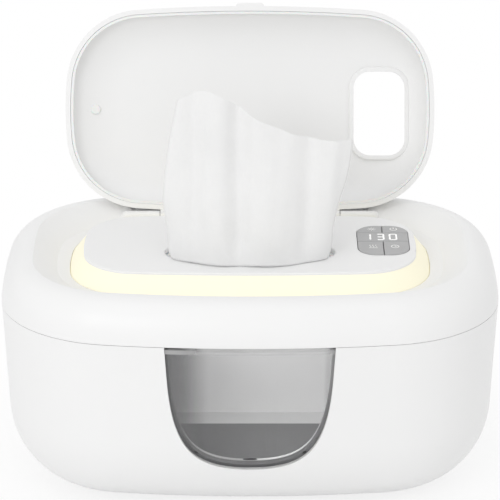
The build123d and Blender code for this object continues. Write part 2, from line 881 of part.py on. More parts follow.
def make_upper_housing():
    outer = cover_form(0)
    deck_void = dish_form(0) + trough_form(0)
    inside = cover_form(wall) - dish_form(wall) - trough_form(wall)
    housing = outer - deck_void - inside
    flesh = cover_form(wall / 2) - dish_form(wall / 2) - trough_form(wall / 2)
    for x, y in cover_screw_places:
        housing += upright(boss_radius, x, y, liner_top, crest_height) & flesh
        housing -= upright(screw_radius + screw_fit, x, y, liner_bottom, liner_bottom + screw_length + 0.5)
    housing -= ring_foot.prism(flange_top - 1, channel_height)
    for sign in sides.values():
        housing += catch_rib(sign)
    housing -= block(0, 0, 0, 2 * body_length, 2 * body_depth, cover_bottom)
    housing += hinge_knuckle(-cover_knuckle_half, cover_knuckle_half, 1)
    housing -= side_relief
    housing -= cover_pin_bore
    for x_from, x_to in knuckle_spans:
        housing -= knuckle_room(x_from, x_to)
    return housing + make_hinge_rib() - lid_pin_bores


def make_lid_hinge_pins():
    pins = [along_x(lid_pin_radius, lid_axis_y, lid_axis_z, *span) for span in pin_spans]
    return joined(pins)


def make_cover_hinge_pin():
    return along_x(cover_pin_radius, cover_axis_y, cover_axis_z, -side_knuckle_end, side_knuckle_end)


# ------------------------------------------------- cover: ring and platform
def ring_cone(depth):
    """The light ring's sloping outer form, drawn in by a depth."""
    foot = ring_foot.inset(ring_gap + depth)
    cone = loft([foot.face(channel_height), platform.inset(depth).face(ring_top)], ruled=True)
    return cone + foot.prism(flange_bottom, channel_height)


def make_light_ring():
    ring = ring_cone(0)
    ring += ring_foot.inset(-ring_flange_width).prism(flange_bottom, flange_top)
    return ring - ring_cone(ring_wall)


led_inner_inset = ring_gap + ring_wall + 5.0


def make_led_board():
    top = flange_bottom
    board = ring_foot.inset(0.5 - ring_flange_width).prism(top - led_board_thickness, top)
    return board - ring_foot.inset(led_inner_inset).prism(top - led_board_thickness, top)


def make_leds():
    path = ring_foot.inset(ring_gap + ring_wall + 2.5).face(flange_bottom).wire()
    pieces = []
    for number in range(led_count):
        place = path.position_at(number / led_count)
        along = path.tangent_at(number / led_count)
        turn = math.degrees(math.atan2(along.Y, along.X))
        box = extrude(Rectangle(led_size * 1.25, led_size), led_thickness)
        pieces.append(Pos(place) * Rot(0, 0, turn) * box)
    return joined(pieces)


def mouth_face(grow):
    return Pos(0, mouth_centre_y) * Ellipse(mouth_length / 2 + grow, mouth_depth / 2 + grow)


def panel_face(grow):
    corner = panel_corner + grow
    outline = RectangleRounded(panel_width + 2 * grow, panel_depth + 2 * grow, corner)
    return Pos(panel_centre_x, panel_centre_y) * outline


def raised(face, bottom, top):
    return Pos(0, 0, bottom) * extrude(face, top - bottom)


def make_platform_plate():
    plate = platform.prism(ring_top, platform_height)
    plate = fillet(plate.edges().group_by(Axis.Z)[-1], platform_edge * 0.6)
    plate += platform.inset(ring_wall + ring_gap).prism(platform_underside, ring_top)
    for x, y in platform_screw_places:
        plate += upright(boss_radius, x, y, liner_top, platform_underside)
        plate -= upright(screw_radius + screw_fit, x, y, liner_top, liner_bottom + screw_length + 0.5)
    plate -= raised(mouth_face(0), platform_underside, platform_height)
    mouth_edge = plate.edges().filter_by(GeomType.ELLIPSE).group_by(Axis.Z)[-1]
    plate = fillet(mouth_edge, mouth_edge_round)
    plate -= raised(panel_face(panel_gap), platform_underside, platform_height)
    return plate


def make_mouth_grommet():
    """The soft diaphragm held under the mouth, with an oval slot for the wipes."""
    top = platform_underside - soft_gap
    grommet = raised(mouth_face(grommet_flange), grommet_bottom, top)
    grommet -= raised(mouth_face(-grommet_flange), top - grommet_recess, top)
    slot = Pos(0, mouth_centre_y) * Ellipse(wipe_neck / 2 + soft_gap, slot_depth / 2)
    return grommet - raised(slot, grommet_bottom, top)


# --------------------------------------------------- cover: the control panel
panel_front = panel_centre_y - panel_depth / 2
panel_back = panel_centre_y + panel_depth / 2
panel_right = panel_centre_x + panel_width / 2
key_half = panel_width / 2


def panel_cell(side, y_from, y_to):
    """The part of the panel on one side of its middle, between two depths."""
    half_gap = panel_gap / 2
    x = panel_centre_x + side * (key_half + half_gap) / 2
    cell = Pos(x, (y_from + y_to) / 2) * Rectangle(key_half - half_gap, y_to - y_from)
    return panel_face(0) & cell


key_rows = {
    "front": (panel_front, panel_front + front_key_depth),
    "rear": (panel_back - rear_key_depth, panel_back),
}
key_names = [(row, side) for row in key_rows for side in sides]
lens_front = key_rows["front"][1] + panel_gap
lens_back = key_rows["rear"][0] - panel_gap


def key_centre(row, side):
    y_from, y_to = key_rows[row]
    return panel_centre_x + sides[side] * key_half / 2, (y_from + y_to) / 2


def make_key(row, side):
    y_from, y_to = key_rows[row]
    cap = raised(panel_cell(sides[side], y_from, y_to), panel_top - key_thickness, panel_top)
    cap = fillet(cap.edges().group_by(Axis.Z)[-1], 0.4)
    x, y = key_centre(row, side)
    stem_bottom = plunger_top + key_travel + press_gap
    return cap + upright(stem_radius, x, y, stem_bottom, panel_top - key_thickness)


display_width = 21.0
display_depth = 9.6


def make_display_lens():
    y = (lens_front + lens_back) / 2
    strip = Pos(panel_centre_x, y) * Rectangle(panel_width, lens_back - lens_front)
    lens = raised(strip, frame_top, panel_top)
    lens = fillet(lens.edges().group_by(Axis.Z)[-1], 0.3)
    pocket = block(
        panel_centre_x, y, frame_top, display_width + 2 * fit_gap, display_depth + 2 * fit_gap, 1.5
    )
    return lens - pocket


def make_display_module():
    y = (lens_front + lens_back) / 2
    return block(panel_centre_x, y, board_top, display_width, display_depth, frame_top + 1.2 - board_top)


def make_panel_frame():
    """The dark frame under the keys, glued to the underside of the platform."""
    limit = platform.inset(ring_wall + 2 * ring_gap)
    grown = panel_face(panel_frame_margin)
    frame = raised(grown, frame_bottom, frame_top) & limit.prism(frame_bottom, frame_top)
    rim = raised(grown, frame_top, platform_underside)
    rim -= raised(panel_face(panel_gap), frame_top, platform_underside)
    rim &= block(
        panel_right - panel_corner - panel_width, panel_centre_y, frame_top, 2 * panel_width, 2 * panel_depth, 2
    )
    frame += rim & limit.prism(frame_top, platform_underside)
    for row, side in key_names:
        x, y = key_centre(row, side)
        frame -= upright(stem_radius + stem_clearance, x, y, frame_bottom, frame_top)
    y = (lens_front + lens_back) / 2
    return frame - block(
        panel_centre_x, y, frame_bottom, display_width + 2 * fit_gap, display_depth + 2 * fit_gap, 3
    )


board_width = panel_width + 2 * control_board_margin
board_posts = rectangle_corners(panel_width / 4, control_board_depth / 2 - 2.7, panel_centre_y)
board_posts = [(panel_centre_x + x, y) for x, y in board_posts]
post_radius = 2.4


def make_control_board():
    bottom = board_top - board_thickness
    board = block(panel_centre_x, panel_centre_y, bottom, board_width, control_board_depth, board_thickness, 5)
    for x, y in board_posts:
        board -= upright(screw_radius + fit_gap, x, y, bottom, board_top)
    return board


def make_tact_switches():
    pieces = []
    for row, side in key_names:
        x, y = key_centre(row, side)
        body_box = block(x, y, board_top, switch_width, switch_width, switch_height)
        pieces.append(body_box + upright(plunger_radius, x, y, board_top, plunger_top))
    return joined(pieces)


def make_board_screws():
    pieces = []
    for x, y in board_posts:
        head = upright(screw_head_radius - 0.6, x, y, board_top, board_top + 1.2)
        pieces.append(head + upright(screw_radius, x, y, board_top - 5, board_top))
    return joined(pieces)


# ----------------------------------------------------------- cover: the liner
def make_cover_liner():
    """The plate that closes the cover below, with the funnel up to the mouth."""
    liner = body.inset(wall + fit_gap).prism(liner_bottom, liner_top)
    liner += raised(mouth_face(mouth_wall), liner_bottom, grommet_bottom - soft_gap)
    liner -= raised(mouth_face(0), liner_bottom, platform_underside)
    for x, y in cover_screw_places + platform_screw_places:
        liner -= screw_seat(x, y, liner_bottom, screw_length)
    for x, y in board_posts:
        liner += upright(post_radius, x, y, liner_top, board_top - board_thickness)
        liner -= upright(screw_radius + screw_fit, x, y, board_top - board_thickness - 4.5, board_top)
    path = ring_foot.face(0).wire()
    for number in range(8):
        place = path.position_at(number / 8)
        liner += upright(1.5, place.X, place.Y, liner_top, flange_bottom - led_board_thickness)
    for sign in sides.values():
        liner -= hook_slot(sign, fit_gap)
    return liner - side_relief - middle_relief


def make_cover_screws():
    return joined([screw(x, y, liner_bottom, screw_length) for x, y in cover_screw_places])


def make_platform_screws():
    return joined([screw(x, y, liner_bottom, screw_length) for x, y in platform_screw_places])


# --------------------------------------------------------------- wipe sheet
wipe_stations = [
    # height above the platform, width, thickness, how far right its middle is
    (-8.0, wipe_neck, 5.0, 0.0),
    (-1.4, wipe_neck, 5.0, 0.0),
    (2.5, 72.0, 27.0, 0.0),
    (14.0, 78.0, 32.0, 0.5),
    (34.0, 84.0, 30.0, 2.0),
    (58.0, 84.0, 20.0, 4.0),
    (83.0, 26.0, 8.0, -22.0),
]


def make_wipe_sheet():
    """The next wipe, drawn half out of the mouth."""
    sections = []
    for rise, width, thickness, shift in wipe_stations:
        oval = Ellipse(width / 2, thickness / 2)
        sections.append(Pos(shift, mouth_centre_y, platform_height + rise) * oval)
    return loft(sections, ruled=True)


# --------------------------------------------------------------------- lid
lid_core = lid_round_run + 6.0


def lid_form(edge, flat, round_end, top):
    """The closed lid as a solid: an upright edge, then a rounded shoulder."""
    low = lid_rim_height
    edges = Polyline(
        (-round_end, low + top), (-lid_core, low + top), (-lid_core, low), (-edge, low), (-edge, low + flat)
    )
    edges += conic((-edge, low + flat), (-edge, low + top), (-round_end, low + top))
    return sweep_round(lid, closed(edges)) + lid.inset(lid_core - 1).prism(low, low + top)


def lid_inside():
    return lid_form(lid_rim_width, lid_rim_flat, lid_round_run + lid_wall, lid_height - lid_wall)


def opened(piece):
    """Turn a piece of the closed lid back to where it stands open."""
    hinge = Pos(0, lid_axis_y, lid_axis_z)
    return hinge * Rot(-lid_opening_angle, 0, 0) * hinge.inverse() * piece


def lid_window_face(grow):
    width = lid_window_width + 2 * grow
    depth = lid_window_depth + 2 * grow
    outline = RectangleRounded(width, depth, lid_window_corner + grow)
    return Pos(lid_window_centre_x, lid_window_centre_y) * outline


def lid_tab():
    """The small finger tab on the lid's front edge."""
    depth = lid_tab_reach + lid_rim_width
    y = -lid_depth / 2 - lid_tab_reach + depth / 2
    return block(0, y, lid_rim_height, lid_tab_width, depth, lid_tab_thickness, lid_tab_reach)


def lid_knuckle(x_from, x_to):
    """A barrel on the lid's axis with a web to the lid's rear edge."""
    barrel = along_x(lid_knuckle_radius, lid_axis_y, lid_axis_z, x_from, x_to)
    web_depth = lid_hinge_behind + lid_rim_width
    web_height = lid_hinge_above + lid_knuckle_radius
    web_y = lid_axis_y - web_depth / 2
    middle = (x_from + x_to) / 2
    return barrel + block(middle, web_y, lid_rim_height, x_to - x_from, web_depth, web_height)


def make_lid_shell():
    shell = lid_form(0, lid_edge_flat, lid_round_run, lid_height) - lid_inside()
    collar = raised(lid_window_face(collar_wall), lid_top - lid_wall - collar_drop, lid_top - 0.5)
    collar = fillet(collar.edges().group_by(Axis.Z)[0], collar_round)
    shell += collar & lid_form(1, lid_edge_flat, lid_round_run, lid_height - 0.5)
    shell -= raised(lid_window_face(0), lid_rim_height, lid_top)
    shell += lid_tab()
    for x_from, x_to in rib_spans:
        shell -= knuckle_room(x_from, x_to)
    for x_from, x_to in knuckle_spans:
        shell += lid_knuckle(x_from, x_to)
    return opened(shell - lid_pin_bores)


def make_lid_seal():
    """The soft strip that stands inside the lid's rim."""
    outside = lid_rim_width + soft_gap
    top = lid_rim_height + lid_seal_height
    seal = lid.inset(outside).prism(lid_rim_height, top)
    seal -= lid.inset(outside + lid_seal_width).prism(lid_rim_height, top)
    return opened(seal)


def make_lid_bumper():
    """A low round bumper under the lid's left end."""
    face = lid_top - lid_wall
    bumper = upright(bumper_radius, bumper_x, bumper_y, face - bumper_drop, face)
    bumper = fillet(bumper.edges().group_by(Axis.Z)[0], bumper_round)
    return opened(bumper & lid_inside())


# ------------------------------------------------------------------- output
parts = {
    "lower_shell": make_lower_shell,
    "window_pane": make_window_pane,
    "window_seal": make_window_seal,
    "inner_tank": make_inner_tank,
    "tank_gasket": make_tank_gasket,
    "heater_plate": make_heater_plate,
    "heater_film": make_heater_film,
    "insulation_pad": make_insulation_pad,
    "thermostat": make_thermostat,
    "thermal_fuse": make_thermal_fuse,
    "power_board": make_power_board,
    "power_parts": make_power_parts,
    "power_screws": make_power_screws,
    "power_inlet": make_power_inlet,
    "base_plate": make_base_plate,
    "feet": make_feet,
    "floor_screws": make_floor_screws,
    "cover_hinge_pin": make_cover_hinge_pin,
    "upper_housing": make_upper_housing,
    "light_ring": make_light_ring,
    "led_board": make_led_board,
    "leds": make_leds,
    "platform_plate": make_platform_plate,
    "mouth_grommet": make_mouth_grommet,
    "panel_frame": make_panel_frame,
    "display_lens": make_display_lens,
    "display_module": make_display_module,
    "control_board": make_control_board,
    "tact_switches": make_tact_switches,
    "board_screws": make_board_screws,
    "cover_liner": make_cover_liner,
    "cover_screws": make_cover_screws,
    "platform_screws": make_platform_screws,
    "lid_hinge_pins": make_lid_hinge_pins,
    "wipe_sheet": make_wipe_sheet,
    "lid_shell": make_lid_shell,
    "lid_seal": make_lid_seal,
    "lid_bumper": make_lid_bumper,
}
for row, side in key_names:
    parts[f"{row}_{side}_key"] = lambda row=row, side=side: make_key(row, side)
for side in sides:
    parts[f"release_button_{side}"] = lambda side=side: make_release_button(side)
    parts[f"release_spring_{side}"] = lambda side=side: make_release_spring(side)

os.makedirs("parts", exist_ok=True)
for name, make in parts.items():
    export_step(make(), f"parts/{name}.step")
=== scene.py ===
import json
import math

import bpy
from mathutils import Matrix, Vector


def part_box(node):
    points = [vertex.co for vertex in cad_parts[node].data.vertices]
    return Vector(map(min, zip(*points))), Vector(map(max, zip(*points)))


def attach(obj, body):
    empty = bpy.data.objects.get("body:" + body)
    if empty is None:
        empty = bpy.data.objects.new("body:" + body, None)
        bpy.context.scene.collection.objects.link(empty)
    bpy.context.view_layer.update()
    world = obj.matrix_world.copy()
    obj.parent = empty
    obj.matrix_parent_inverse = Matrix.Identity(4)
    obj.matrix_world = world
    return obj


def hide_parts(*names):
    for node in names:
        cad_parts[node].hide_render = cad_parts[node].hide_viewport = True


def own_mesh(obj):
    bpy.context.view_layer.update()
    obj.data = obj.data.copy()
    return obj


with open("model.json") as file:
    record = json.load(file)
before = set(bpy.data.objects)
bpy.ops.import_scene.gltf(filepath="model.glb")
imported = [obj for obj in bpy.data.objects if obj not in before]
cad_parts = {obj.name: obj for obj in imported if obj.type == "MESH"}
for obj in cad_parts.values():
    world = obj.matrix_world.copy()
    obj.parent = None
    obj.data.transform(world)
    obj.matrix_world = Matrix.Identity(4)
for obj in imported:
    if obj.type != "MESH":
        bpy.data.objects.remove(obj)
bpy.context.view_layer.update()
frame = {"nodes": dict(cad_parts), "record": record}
scene = bpy.context.scene


# ------------------------------------------------------------ material tools
class Wire:
    """One output of a tree's nodes. Sums and products of wires add Math nodes."""

    def __init__(self, tree, socket):
        self.tree = tree
        self.socket = socket

    def math(self, operation, first, second):
        return self.tree.node("ShaderNodeMath", {"operation": operation}, {0: first, 1: second})

    def __add__(self, other):
        return self.math("ADD", self, other)

    __radd__ = __add__

    def __sub__(self, other):
        return self.math("SUBTRACT", self, other)

    def __rsub__(self, other):
        return self.math("SUBTRACT", other, self)

    def __mul__(self, other):
        return self.math("MULTIPLY", self, other)

    __rmul__ = __mul__

    def larger(self, other):
        return self.math("MAXIMUM", self, other)

    def smooth(self, low, high):
        """0 below low, 1 above high and a soft step between them."""
        settings = {"interpolation_type": "SMOOTHSTEP"}
        return self.tree.node("ShaderNodeMapRange", settings, {0: self, 1: low, 2: high})


class Tree:
    """A node tree of a material or the world, built up node by node."""

    def __init__(self, node_tree):
        self.nodes = node_tree.nodes
        self.links = node_tree.links

    def feed(self, socket, value):
        if isinstance(value, Wire):
            self.links.new(value.socket, socket)
        elif isinstance(value, tuple) and len(value) == 3 and len(socket.default_value) == 4:
            socket.default_value = (*value, 1.0)
        else:
            socket.default_value = value

    def node(self, kind, settings=None, inputs=None, output=0):
        made = self.nodes.new(kind)
        for key, value in (settings or {}).items():
            setattr(made, key, value)
        for key, value in (inputs or {}).items():
            self.feed(made.inputs[key], value)
        return Wire(self, made.outputs[output])

    def looked_at(self):
        """1 where the camera looks straight, in a mirror or through glass."""
        rays = ("Is Camera Ray", "Is Glossy Ray", "Is Transmission Ray")
        straight, mirrored, through = [self.node("ShaderNodeLightPath", output=ray) for ray in rays]
        return straight.larger(mirrored).larger(through)


class Finish(Tree):
    """A material round one Principled shader."""

    def __init__(self, name, colour, roughness, **fixed):
        self.material = bpy.data.materials.new(name)
        self.material.use_nodes = True
        super().__init__(self.material.node_tree)
        self.shader = self.nodes["Principled BSDF"]
        self.colour(colour)
        self.gloss(roughness)
        for socket, value in fixed.items():
            self.feed(self.shader.inputs[socket.replace("_", " ")], value)

    def colour(self, value):
        self.feed(self.shader.inputs["Base Color"], value)

    def gloss(self, value):
        """How rough the surface is, from 0 for polished to 1 for chalky."""
        self.feed(self.shader.inputs["Roughness"], value)

    def place(self, stretch=(1, 1, 1)):
        """Where a point lies on its own piece, in metres, with each axis stretched."""
        here = self.node("ShaderNodeTexCoord", output="Object")
        if stretch == (1, 1, 1):
            return here
        return self.node("ShaderNodeVectorMath", {"operation": "MULTIPLY"}, {0: here, 1: stretch})

    def axis(self, which):
        """One coordinate of that point: 0 across, 1 front to back, 2 up."""
        return self.node("ShaderNodeSeparateXYZ", inputs={0: self.place()}, output=which)

    def noise(self, size, detail=3.0, roughness=0.5, stretch=(1, 1, 1)):
        """Cloudy noise from 0 to 1 whose patches are about a size across, in metres."""
        look = {"Scale": 1 / size, "Detail": detail, "Roughness": roughness}
        return self.node("ShaderNodeTexNoise", inputs={"Vector": self.place(stretch), **look})

    def cells(self, size, stretch=(1, 1, 1)):
        """The distance to the nearest of many scattered points, in cell sizes."""
        inputs = {"Vector": self.place(stretch), "Scale": 1 / size}
        return self.node("ShaderNodeTexVoronoi", inputs=inputs)

    def mix(self, factor, first, second):
        """A colour between two colours or colour wires."""
        return self.node("ShaderNodeMix", {"data_type": "RGBA"}, {0: factor, 6: first, 7: second}, output=2)

    def bump(self, height, distance):
        """Raise the surface by a height times a distance in metres."""
        inputs = {"Height": height, "Distance": distance, "Strength": 1.0}
        self.feed(self.shader.inputs["Normal"], self.node("ShaderNodeBump", inputs=inputs))


def shade(colour, share):
    """A colour taken down to a share of itself."""
    return tuple(part * share for part in colour)


# ----------------------------------------------------------------- materials
WHITE = (0.885, 0.885, 0.883)
CLEAR = (0.87, 0.87, 0.865)
SMOKE = (0.16, 0.16, 0.163)
# GLEAM is the colour of the pane's painted highlight.
GLEAM = (0.42, 0.42, 0.42)
TANK_DARK, TANK_PALE = (0.83, 0.83, 0.832), (0.855, 0.855, 0.855)
# The dark grey that paints shade onto the front of the tank's floor.
PAINTED_FLOOR_SHADE = (0.26, 0.26, 0.264)
CLOTH_DARK, CLOTH_PALE = (0.838, 0.838, 0.836), (0.852, 0.852, 0.849)
# Colour of the random wet patches and of the painted shade at the wipe's foot.
CLOTH_DAMP_AND_SHADE = (0.775, 0.777, 0.777)
RING_WHITE, RING_LIGHT = (0.885, 0.865, 0.735), (1.0, 0.88, 0.46)
RING_GLOW = 0.19
DIGIT_GLOW = 0.30
# The faint painted glow given to the printed key marks.
PAINTED_MARK_GLOW = 0.10
LED_GLOW = 1.2
PANE_TINT = 0.05

# Where a finish changes on its piece, in metres: each pair is the start and the end of a soft step.
FLOOR_HEIGHT = (0.0124, 0.0132)
# The line near the back of the tank's floor where its painted shade ends.
FLOOR_SHADE_BACK_EDGE = (0.0108, 0.0118)
# Where the pane's painted shade and painted highlight lie.
PANE_LEFT_SHADE = (-0.038, -0.018)
PANE_RIGHT_GLEAM = (0.034, 0.039)
PANE_FOOT_SHADE = (0.028, 0.046)
PANE_STRIP_FOOT, PANE_STRIP_TOP = (0.0883, 0.0887), (0.0905, 0.0908)
# Heights over which the painted shade at the wipe's foot fades out.
WIPE_FOOT_SHADE_HEIGHT = (0.112, 0.132)


def satin_plastic(name, colour, roughness, **fixed):
    """Moulded plastic: a fine spark-eroded grain over long soft ripples from cooling."""
    finish = Finish(name, colour, roughness, **fixed)
    cloud = finish.noise(0.045, 2.0)
    speck = finish.noise(0.0016, 3.0, 0.6)
    tone = finish.mix(cloud, shade(colour, 0.985), colour)
    finish.colour(finish.mix(speck.smooth(0.62, 0.80) * 0.5, tone, shade(colour, 0.97)))
    finish.gloss(cloud * 0.07 + speck * 0.05 + (roughness - 0.06))
    grain = finish.noise(0.0005, 2.0, 0.6)
    ripple = finish.noise(0.028, 1.0)
    finish.bump(grain + ripple * 3.0, 0.000012)
    return finish.material


def tank_plastic():
    """Pale grey moulding whose floor, in front of a line near its back, is painted dark grey as shade and
    finely ribbed.
    """
    finish = Finish("tank_plastic", (0.80, 0.80, 0.80), 0.42)
    low = 1 - finish.axis(2).smooth(*FLOOR_HEIGHT)
    # Painted shade: the floor in front of a line near its back is coloured dark grey, with fine ribs bumped
    # in.
    shaded_floor = low * (1 - finish.axis(1).smooth(*FLOOR_SHADE_BACK_EDGE))
    cloud = finish.noise(0.03, 2.0)
    finish.colour(finish.mix(shaded_floor, finish.mix(cloud, TANK_DARK, TANK_PALE), PAINTED_FLOOR_SHADE))
    finish.gloss(cloud * 0.08 + shaded_floor * 0.12 + 0.34)
    grain = finish.noise(0.0006, 2.0)
    ribs = finish.noise(0.002, 1.0, 0.5, (1, 0.02, 1))
    finish.bump(grain + shaded_floor * ribs * 4.0, 0.00002)
    return finish.material


def rubber(name, colour, roughness, **fixed):
    """Soft moulded rubber or silicone: matt, with dust and a pebbled skin."""
    finish = Finish(name, colour, roughness, **fixed)
    dust = finish.noise(0.004, 5.0, 0.7)
    dusty = tuple(0.85 * part + 0.06 for part in colour)
    finish.colour(finish.mix(dust.smooth(0.45, 0.75) * 0.35, colour, dusty))
    finish.gloss(dust * 0.16 + (roughness - 0.08))
    finish.bump(finish.cells(0.0006), 0.00002)
    return finish.material


def brushed_metal(name, colour, roughness, stretch):
    """Metal with fine rolling or turning lines and faint stains."""
    finish = Finish(name, colour, roughness, Metallic=1.0)
    lines = finish.noise(0.0009, 4.0, 0.6, stretch)
    stain = finish.noise(0.012, 3.0)
    finish.colour(finish.mix(stain.smooth(0.35, 0.75), colour, shade(colour, 0.86)))
    finish.gloss(lines * 0.22 + (roughness - 0.10))
    finish.bump(lines, 0.000018)
    return finish.material


def smoked_pane():
    """A tinted clear pane: polished, with a thin bloom of condensation and fine wiping marks.

    Its left edge and its foot are darkened with painted shade. Its right edge and a strip under the cover
    carry a painted highlight.
    """
    finish = Finish("smoked_window", SMOKE, 0.05, IOR=1.49)
    bloom = finish.noise(0.02, 3.0)
    wiped = finish.noise(0.0012, 3.0, 0.6, (0.25, 1, 1.6))
    # Painted shade at the left edge and the foot, painted highlight at the right edge and in the strip
    # under the cover.
    left = 1 - finish.axis(0).smooth(*PANE_LEFT_SHADE)
    right = finish.axis(0).smooth(*PANE_RIGHT_GLEAM)
    foot = 1 - finish.axis(2).smooth(*PANE_FOOT_SHADE)
    strip = finish.axis(2).smooth(*PANE_STRIP_FOOT) - finish.axis(2).smooth(*PANE_STRIP_TOP)
    painted_shade_and_gleam = left * 0.58 + right * 0.30 + foot * 0.04 + strip * 0.22
    finish.colour(finish.mix(strip + right - strip * right, SMOKE, GLEAM))
    finish.gloss(bloom.smooth(0.4, 0.8) * 0.05 + wiped * 0.03 + 0.02)
    finish.feed(finish.shader.inputs["Alpha"], bloom * 0.03 + painted_shade_and_gleam + PANE_TINT)
    finish.bump(finish.noise(0.03, 1.0), 0.00003)
    return finish.material


def circuit_board():
    """Solder mask over etched tracks, with small tinned pads."""
    finish = Finish("green_board", (0.02, 0.15, 0.05), 0.35, Coat_Weight=0.3)
    lane = finish.cells(0.0026, (1, 0.22, 1))
    track = 1 - lane.smooth(0.10, 0.16)
    pad = 1 - finish.cells(0.0045).smooth(0.10, 0.14)
    green = finish.mix(track, (0.018, 0.135, 0.045), (0.05, 0.25, 0.09))
    finish.colour(finish.mix(pad, green, (0.66, 0.66, 0.64)))
    finish.feed(finish.shader.inputs["Metallic"], pad)
    finish.bump(track + pad, 0.00003)
    return finish.material


def heater_film():
    """Orange polyimide film over a folded resistance track."""
    finish = Finish("orange_film", (0.62, 0.26, 0.05), 0.3)
    wave = finish.node(
        "ShaderNodeTexWave",
        {"wave_type": "BANDS", "bands_direction": "X"},
        {"Vector": finish.place(), "Scale": 55.0, "Distortion": 0.4},
    )
    track = wave.smooth(0.55, 0.7)
    finish.colour(finish.mix(track, (0.60, 0.25, 0.05), (0.30, 0.13, 0.035)))
    finish.gloss(track * 0.1 + 0.22)
    finish.bump(track, 0.00004)
    return finish.material


def open_foam():
    """Dark open-celled foam."""
    finish = Finish("grey_foam", (0.10, 0.10, 0.105), 0.95)
    pores = finish.cells(0.0011)
    finish.colour(finish.mix(pores.smooth(0.1, 0.6), (0.04, 0.04, 0.042), (0.13, 0.13, 0.135)))
    finish.bump(pores, 0.0004)
    return finish.material


def frosted_light(name, colour, glow, strength):
    """A frosted light guide that glows a little unevenly."""
    finish = Finish(name, colour, 0.45, Emission_Strength=strength)
    haze = finish.noise(0.014, 2.0)
    finish.feed(finish.shader.inputs["Emission Color"], finish.mix(haze, shade(glow, 0.94), glow))
    finish.colour(finish.mix(haze, shade(colour, 0.98), colour))
    finish.gloss(haze * 0.08 + 0.40)
    finish.bump(finish.noise(0.0006, 2.0), 0.00002)
    return finish.material


def damp_cloth():
    """Spun-laced cloth: crossed long fibres, rows of small embossed dimples, random wet patches, and
    painted shade that darkens it near the mouth.
    """
    finish = Finish("wipe_cloth", (0.9, 0.9, 0.9), 0.85, Sheen_Weight=0.15, Sheen_Roughness=0.4)
    along = finish.noise(0.0012, 4.0, 0.65, (1, 1, 0.22))
    over = finish.noise(0.0012, 4.0, 0.65, (0.25, 0.25, 1))
    fibres = along * 0.6 + over * 0.4
    dimples = finish.cells(0.0021).smooth(0.15, 0.55)
    wet = finish.noise(0.018, 3.0)
    # Painted shade: the cloth is darkened towards its foot at the mouth, mixed with random wet patches.
    foot = 1 - finish.axis(2).smooth(*WIPE_FOOT_SHADE_HEIGHT)
    damp_and_shade = wet.smooth(0.35, 0.8) * 0.3 + foot * 0.7
    pale = finish.mix(fibres.smooth(0.3, 0.7), CLOTH_DARK, CLOTH_PALE)
    finish.colour(finish.mix(damp_and_shade, pale, CLOTH_DAMP_AND_SHADE))
    finish.gloss(fibres * 0.15 + 0.72)
    finish.bump(fibres * 0.6 + dimples * 0.5, 0.00005)
    return finish.material


finishes = {
    "white_plastic": satin_plastic("white_plastic", WHITE, 0.40),
    "smoked_window": smoked_pane(),
    "dark_rubber": rubber("dark_rubber", (0.035, 0.035, 0.036), 0.62),
    "tank_plastic": tank_plastic(),
    "clear_silicone": rubber("clear_silicone", CLEAR, 0.45, Subsurface_Weight=0.2, Subsurface_Scale=0.002),
    "aluminium_plate": brushed_metal("aluminium_plate", (0.80, 0.80, 0.81), 0.35, (0.05, 1, 1)),
    "orange_film": heater_film(),
    "grey_foam": open_foam(),
    "steel": brushed_metal("steel", (0.60, 0.60, 0.61), 0.32, (1, 1, 0.08)),
    "green_board": circuit_board(),
    "black_plastic": satin_plastic("black_plastic", (0.022, 0.022, 0.023), 0.42),
    "light_diffuser": frosted_light("light_diffuser", RING_WHITE, RING_LIGHT, RING_GLOW),
    "led_emitter": frosted_light("led_emitter", (0.95, 0.88, 0.62), (1.0, 0.88, 0.58), LED_GLOW),
    "panel_grey": satin_plastic("panel_grey", (0.43, 0.43, 0.433), 0.36),
    "wipe_cloth": damp_cloth(),
    "spring_steel": brushed_metal("spring_steel", (0.55, 0.55, 0.56), 0.28, (1, 0.08, 1)),
}
own_finishes = {"window_seal": rubber("window_rubber", (0.30, 0.30, 0.305), 0.5)}
# The printed key marks carry a faint painted glow, though print gives no light.
printed_mark = frosted_light("printed_mark", (0.80, 0.80, 0.79), (1.0, 1.0, 0.98), PAINTED_MARK_GLOW)
digit_light = frosted_light("digit_light", (0.90, 0.90, 0.89), (1.0, 1.0, 0.97), DIGIT_GLOW)
for row in frame["record"]["subparts"]:
    mesh = frame["nodes"][row["node"]].data
    mesh.materials.clear()
    mesh.materials.append(own_finishes.get(row["node"], finishes[row["material_slot"]]))


# ---------------------------------------------------------------- mesh tools
def mm(x, y, z):
    """A point given in millimetres."""
    return Vector((x, y, z)) / 1000


def mesh_object(name, points, faces, finish, smooth=True):
    """A new piece from points in metres and faces that list them."""
    mesh = bpy.data.meshes.new(name)
    mesh.from_pydata(points, [], faces)
    mesh.validate()
    made = bpy.data.objects.new(name, mesh)
    scene.collection.objects.link(made)
    mesh.materials.append(finish)
    mesh.polygons.foreach_set("use_smooth", [smooth] * len(mesh.polygons))
    return made


def between(value, knots):
    """A value that eases from each knot of (place, value) to the next."""
    if value <= knots[0][0]:
        return knots[0][1]
    for (a, low), (b, high) in zip(knots, knots[1:]):
        if value <= b:
            part = (value - a) / (b - a)
            return low + (high - low) * part * part * (3 - 2 * part)
    return knots[-1][1]


